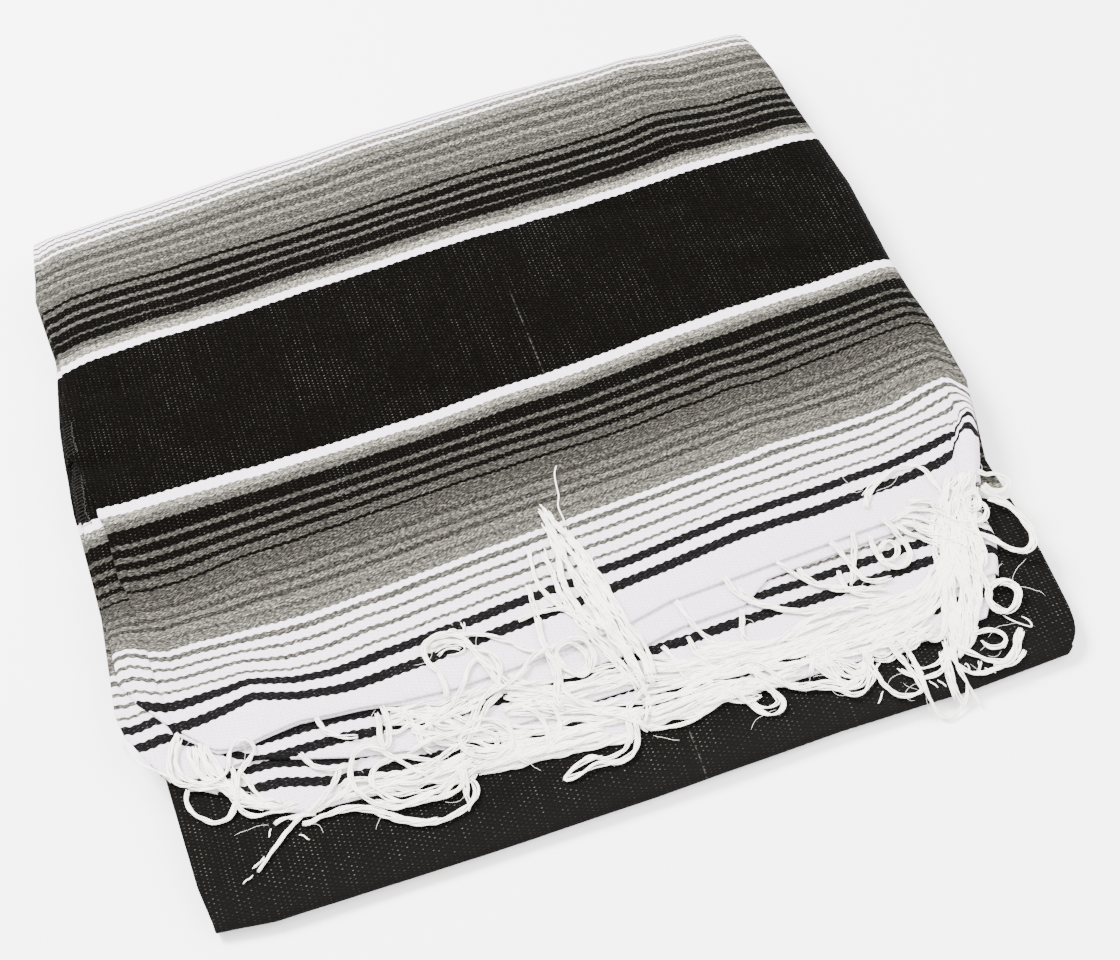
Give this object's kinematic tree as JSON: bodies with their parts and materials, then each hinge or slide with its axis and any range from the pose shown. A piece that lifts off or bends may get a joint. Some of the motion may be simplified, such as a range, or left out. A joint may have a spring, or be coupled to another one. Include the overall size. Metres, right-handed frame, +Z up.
{
  "type": "folded serape blanket",
  "caption": "Folded striped serape blanket in black, white and heather grey, with its loose white warp fringe on top at the front.",
  "frame": {"origin": "on the surface the blanket lies on, under the middle of its outline", "axes": "+X along the fringed edges, to the side of the soft folds; +Y from the front fold to the far fold; +Z up"},
  "size_m": [0.5483, 0.5516, 0.0428],
  "materials": {
    "striped_cloth": "weft-faced woven acrylic and cotton, matt, black, white and heather grey stripes",
    "black_cloth": "the same cloth in its black middle band, matt, with fine white warp flecks",
    "folded_cloth": "the same striped cloth, seen at the edges of the hidden plies",
    "fringe_yarn": "undyed white cotton warp yarn, soft and matt"
  },
  "bodies": {
    "root": {"top_panel": "striped_cloth", "second_panel": "striped_cloth", "third_panel": "striped_cloth", "fourth_panel": "striped_cloth", "bottom_panel": "black_cloth", "folded_core": "folded_cloth", "fringe_top": "fringe_yarn", "fringe_second": "fringe_yarn", "fringe_third": "fringe_yarn", "fringe_fourth": "fringe_yarn", "fringe_lock": "fringe_yarn"}
  },
  "joints": []
}
